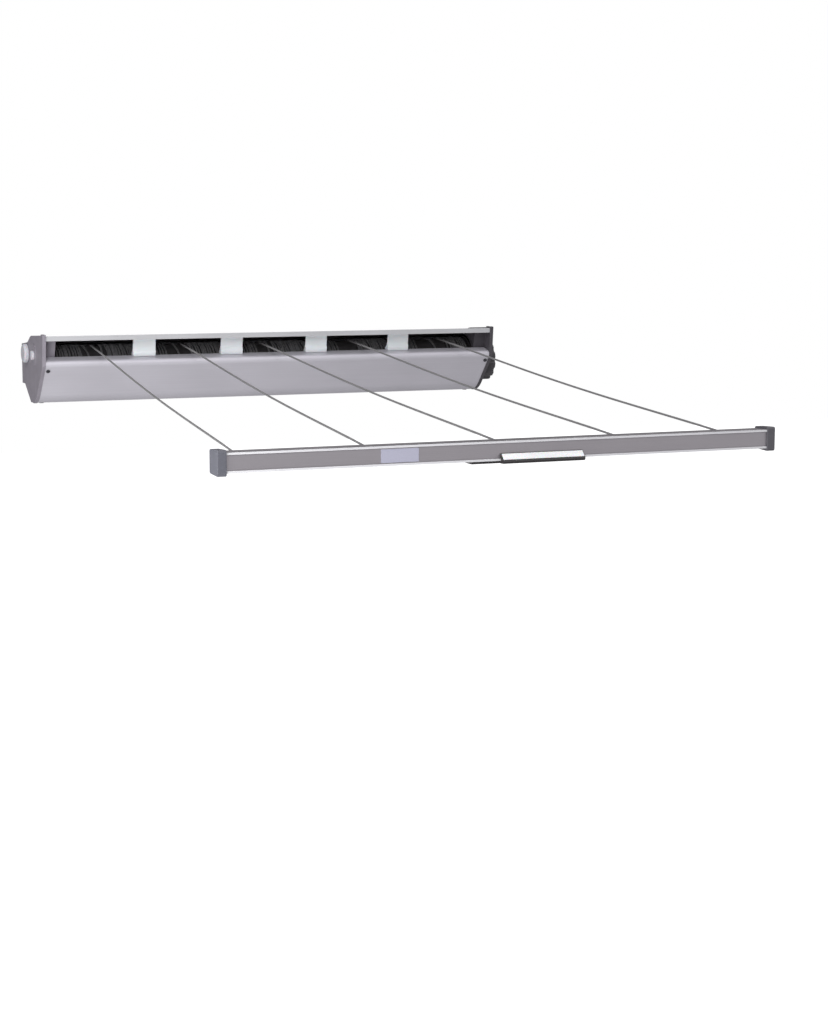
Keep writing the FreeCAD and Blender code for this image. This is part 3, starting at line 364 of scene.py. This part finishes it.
def round_off(piece, width):
    """Joins the frame's split faces, makes flat faces whole, and rounds every sharp edge by width."""
    piece.modifiers.new("weld", "WELD").merge_threshold = 0.002 * MM
    flatten = piece.modifiers.new("flatten", "DECIMATE")
    flatten.decimate_type = "DISSOLVE"
    flatten.angle_limit = math.radians(0.5)
    bevel = piece.modifiers.new("round", "BEVEL")
    bevel.width = width
    bevel.segments = 2
    bevel.limit_method = "ANGLE"
    bevel.angle_limit = SMALLEST_CORNER
    bevel.use_clamp_overlap = True
    smooth = piece.modifiers.new("smooth", "WEIGHTED_NORMAL")
    smooth.keep_sharp = False


def finish_frame(finishes):
    """Gives every CAD piece its finish, and rounded edges where its slot has them."""
    for name, piece in NODES.items():
        slot = SLOTS[name]
        piece.data.materials.clear()
        piece.data.materials.append(finishes.get(name, finishes[slot]).material)
        if slot in EDGE_ROUNDING:
            round_off(piece, EDGE_ROUNDING[slot])


# ---------------------------------------------------------------- the line


def rings_along(path, radius, sides):
    """Rings of points round path and square to it, each one in line with the ring before."""
    runs_along_x = abs((path[1] - path[0]).normalized().x) >= 0.5
    up = Vector((0, 0, 1)) if runs_along_x else Vector((1, 0, 0))
    turns = [math.tau * step / sides for step in range(sides)]
    rings = []
    for number, point in enumerate(path):
        before = path[max(number - 1, 0)]
        after = path[min(number + 1, len(path) - 1)]
        run = (after - before).normalized()
        up = (up - run * up.dot(run)).normalized()
        side = run.cross(up)
        rings.append([point + (up * math.cos(turn) + side * math.sin(turn)) * radius for turn in turns])
    return rings


def sweep(name, path, radius, sides=10):
    """A closed tube along path, as a mesh whose map, called sheath, counts radii along it and round it."""
    vertices = [point for ring in rings_along(path, radius, sides) for point in ring]
    along = [0.0]
    for before, after in zip(path, path[1:]):
        along.append(along[-1] + (after - before).length)
    faces = []
    corners = []
    # the corners of one face, as rings ahead and steps round
    face_corners = ((0, 0), (1, 0), (1, 1), (0, 1))
    for number in range(len(path) - 1):
        for step in range(sides):
            spots = [(number + ahead, step + round_by) for ahead, round_by in face_corners]
            faces.append(tuple(ring * sides + place % sides for ring, place in spots))
            corners += [(along[ring] / radius, math.tau * place / sides) for ring, place in spots]
    first_ring = tuple(range(sides))
    last_ring = tuple(reversed(range(len(vertices) - sides, len(vertices))))
    for ring, length in ((first_ring, along[0]), (last_ring, along[-1])):
        faces.append(ring)
        corners += [(length / radius, 0.0)] * sides
    mesh = bpy.data.meshes.new(name)
    mesh.from_pydata(vertices, [], faces)
    layer = mesh.uv_layers.new(name="sheath")
    for spot, value in zip(layer.data, corners):
        spot.uv = value
    mesh.polygons.foreach_set("use_smooth", [True] * len(faces))
    return add_object(name, mesh)


def wound_path(number, start, chance):
    """The centre line of one spool's wound line, from the take-off point back to its anchored end.

    It runs right over the wide bunch, comes back as that bunch, crosses the bare middle and ends in the
    narrow bunch on the left.
    """
    low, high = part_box(f"wound_cord_{number}")
    axis = (low + high) / 2
    layer = (high.z - low.z) / 2 - LINE_RADIUS
    spool_low, spool_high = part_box(f"spool_{number}")
    right = spool_high.x - FLANGE_ROOM - chance.uniform(0, 6) * MM
    left = spool_low.x + FLANGE_ROOM + chance.uniform(0, 6) * MM
    bunch_end = max(axis.x, start.x) + chance.uniform(12, 22) * MM
    narrow_end = axis.x - chance.uniform(22, 34) * MM
    first_angle = math.atan2(start.z - axis.z, start.y - axis.y)
    # each leg: where it ends, how far it moves in a turn, and how high it rides over the layer
    legs = (
        (right, 13 * MM, 0.8 * MM),
        (bunch_end, 4.1 * MM, 0.1 * MM),
        (narrow_end, 40 * MM, 0.0),
        (left, 4.4 * MM, 0.0),
    )
    path = [start]
    across = start.x
    turned = 0.0
    for end, advance, rise in legs:
        way = math.copysign(1, end - across)
        begin = across
        while (end - across) * way > 0:
            unevenness = 1 + 0.45 * math.sin(1.7 * turned + number) * math.sin(0.6 * turned)
            across += way * advance * unevenness / STEPS_PER_TURN
            turned += 1 / STEPS_PER_TURN
            ride = layer + rise * math.sin(math.pi * min((across - begin) / (end - begin), 1))
            angle = first_angle - math.tau * turned
            path.append(Vector((across, axis.y + ride * math.cos(angle), axis.z + ride * math.sin(angle))))
    return path


def free_path(start, end, steps=160):
    """A cord that runs straight off the drum, sags a little in the middle and ends straight at the bar."""
    path = []
    for step in range(steps + 1):
        share = step / steps
        drop = LINE_SAG * (4 * share * (1 - share)) ** 2
        path.append(start.lerp(end, share) - Vector((0, 0, drop)))
    return path


def cord_ends(number):
    """The centres of a cord's two end faces: at its spool, and inside the bar."""
    end_depth = 1 * MM
    points = [vertex.co for vertex in NODES[f"cord_{number}"].data.vertices]
    back = max(point.y for point in points)
    front = min(point.y for point in points)
    ends = []
    for edge in (back, front):
        near = [point for point in points if abs(point.y - edge) < end_depth]
        low = Vector([min(point[axis] for point in near) for axis in range(3)])
        high = Vector([max(point[axis] for point in near) for axis in range(3)])
        ends.append((low + high) / 2)
    return ends


def even_pull(piece, start, end):
    """Shares the moving end's travel evenly along a blended piece, so that no part of it doubles back."""
    run = end - start
    for point, weight in zip(piece.data.vertices, piece.data.attributes["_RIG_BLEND"].data):
        weight.value = min(max((point.co - start).dot(run) / run.length_squared, 0), 1)


def make_line(finish):
    """The wound and free line of all five spools."""
    chance = random.Random(LINE_SEED)
    for number in CORD_NUMBERS:
        start, end = cord_ends(number)
        wound = sweep(f"wound_line_{number}", wound_path(number, start, chance), LINE_RADIUS, sides=8)
        wound.data.materials.append(finish.material)
        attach(wound, "roller")
        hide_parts(f"wound_cord_{number}")
        free = sweep(f"free_line_{number}", free_path(start, end), LINE_RADIUS)
        free.data.materials.append(finish.material)
        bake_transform(free, "cabinet", "front_bar", start, end)
        even_pull(free, start, end)
        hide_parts(f"cord_{number}")


def make_button_spring():
    """The button's return spring, made anew so that it closes up as the button goes in."""
    coil = add_object("button_return_spring", NODES["button_spring"].data.copy())
    low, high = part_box("button_spring")
    middle = (low + high) / 2
    start = Vector((high.x, middle.y, middle.z))
    end = Vector((low.x, middle.y, middle.z))
    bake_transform(coil, "cabinet", "button", start, end)
    even_pull(coil, start, end)
    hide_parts("button_spring")


# ---------------------------------------------------------------- studio


def softbox(name, place, target, width, height, power):
    """A soft rectangular lamp at place that faces target. Returns its object."""
    lamp = bpy.data.lights.new(name, "AREA")
    lamp.shape = "RECTANGLE"
    lamp.size = width
    lamp.size_y = height
    lamp.energy = power
    holder = add_object(name, lamp)
    holder.location = place
    holder.rotation_euler = (Vector(target) - Vector(place)).to_track_quat("-Z", "Y").to_euler()
    return holder


def make_world():
    """White behind the object, and a soft room light: bright in front and above, dim toward the wall."""
    world = bpy.data.worlds.new("studio")
    world.use_nodes = True
    bpy.context.scene.world = world
    tree = world.node_tree
    tree.nodes.clear()
    paper = tree.nodes.new("ShaderNodeBackground")
    paper.inputs["Color"].default_value = (1, 1, 1, 1)
    room = tree.nodes.new("ShaderNodeBackground")
    room.inputs["Color"].default_value = (0.98, 0.97, 1, 1)
    direction = tree.nodes.new("ShaderNodeTexCoord")
    split = tree.nodes.new("ShaderNodeSeparateXYZ")
    tree.links.new(direction.outputs["Generated"], split.inputs["Vector"])
    total = tree.nodes.new("ShaderNodeMath")
    # each ramp: its axis, the directions where it begins and ends, and the light there
    ramps = (("Y", 0.9, -0.6, 0.12, 0.5), ("Z", 0.2, 1.0, 0.0, 0.65))
    for socket, (axis, begin, end, dim, bright) in zip(total.inputs, ramps):
        ramp = tree.nodes.new("ShaderNodeMapRange")
        ramp.interpolation_type = "SMOOTHSTEP"
        for name, value in (("From Min", begin), ("From Max", end), ("To Min", dim), ("To Max", bright)):
            ramp.inputs[name].default_value = value
        tree.links.new(split.outputs[axis], ramp.inputs["Value"])
        tree.links.new(ramp.outputs["Result"], socket)
    tree.links.new(total.outputs[0], room.inputs["Strength"])
    rays = tree.nodes.new("ShaderNodeLightPath")
    either = tree.nodes.new("ShaderNodeMixShader")
    output = tree.nodes.new("ShaderNodeOutputWorld")
    tree.links.new(rays.outputs["Is Camera Ray"], either.inputs["Fac"])
    tree.links.new(room.outputs["Background"], either.inputs[1])
    tree.links.new(paper.outputs["Background"], either.inputs[2])
    tree.links.new(either.outputs["Shader"], output.inputs["Surface"])


def make_floor(depth=1.5, reach=12.0):
    """A plain pale floor well below the object, as light as the studio behind it."""
    mesh = bpy.data.meshes.new("floor")
    square = ((-1, -1), (1, -1), (1, 1), (-1, 1))
    mesh.from_pydata([(reach * x, reach * y, -depth) for x, y in square], [], [(0, 1, 2, 3)])
    floor = add_object("floor", mesh)
    finish = Finish("pale_floor")
    finish.set(Base_Color=(0.45, 0.45, 0.45), Roughness=0.9)
    seen = finish.add("LightPath").outputs["Is Camera Ray"]
    finish.set(Emission_Color=(1, 1, 1), Emission_Strength=finish.maths("MULTIPLY", seen, 0.9))
    floor.data.materials.append(finish.material)


def make_camera():
    """The photograph's view: a long lens, left of the object, looking right and a little down."""
    camera = bpy.data.cameras.new("camera")
    camera.sensor_width = 36
    camera.lens = CAMERA_LENS
    camera.clip_end = 100
    holder = add_object("camera", camera)
    holder.location = CAMERA_PLACE
    level = Matrix.Rotation(-CAMERA_YAW, 4, "Z") @ Matrix.Rotation(math.pi / 2 - CAMERA_PITCH, 4, "X")
    holder.rotation_euler = (level @ Matrix.Rotation(CAMERA_ROLL, 4, "Z")).to_euler()
    bpy.context.scene.camera = holder


def make_studio():
    """Camera, floor, room light and two soft lamps, one of which leaves no highlights."""
    bpy.context.scene.view_settings.view_transform = "Standard"
    make_camera()
    make_world()
    make_floor()
    low_key = softbox("low_key", (-1.1, -1.2, -0.5), (-0.3, -0.2, 0), 0.8, 0.8, 17)
    low_key.visible_glossy = False
    softbox("front_fill", (-1.1, -2.3, 1.5), (-0.1, -0.3, 0), 1.2, 1.2, 26)


finishes = make_finishes()
finish_frame(finishes)
make_line(finishes["cord_sheath"])
make_button_spring()
make_studio()
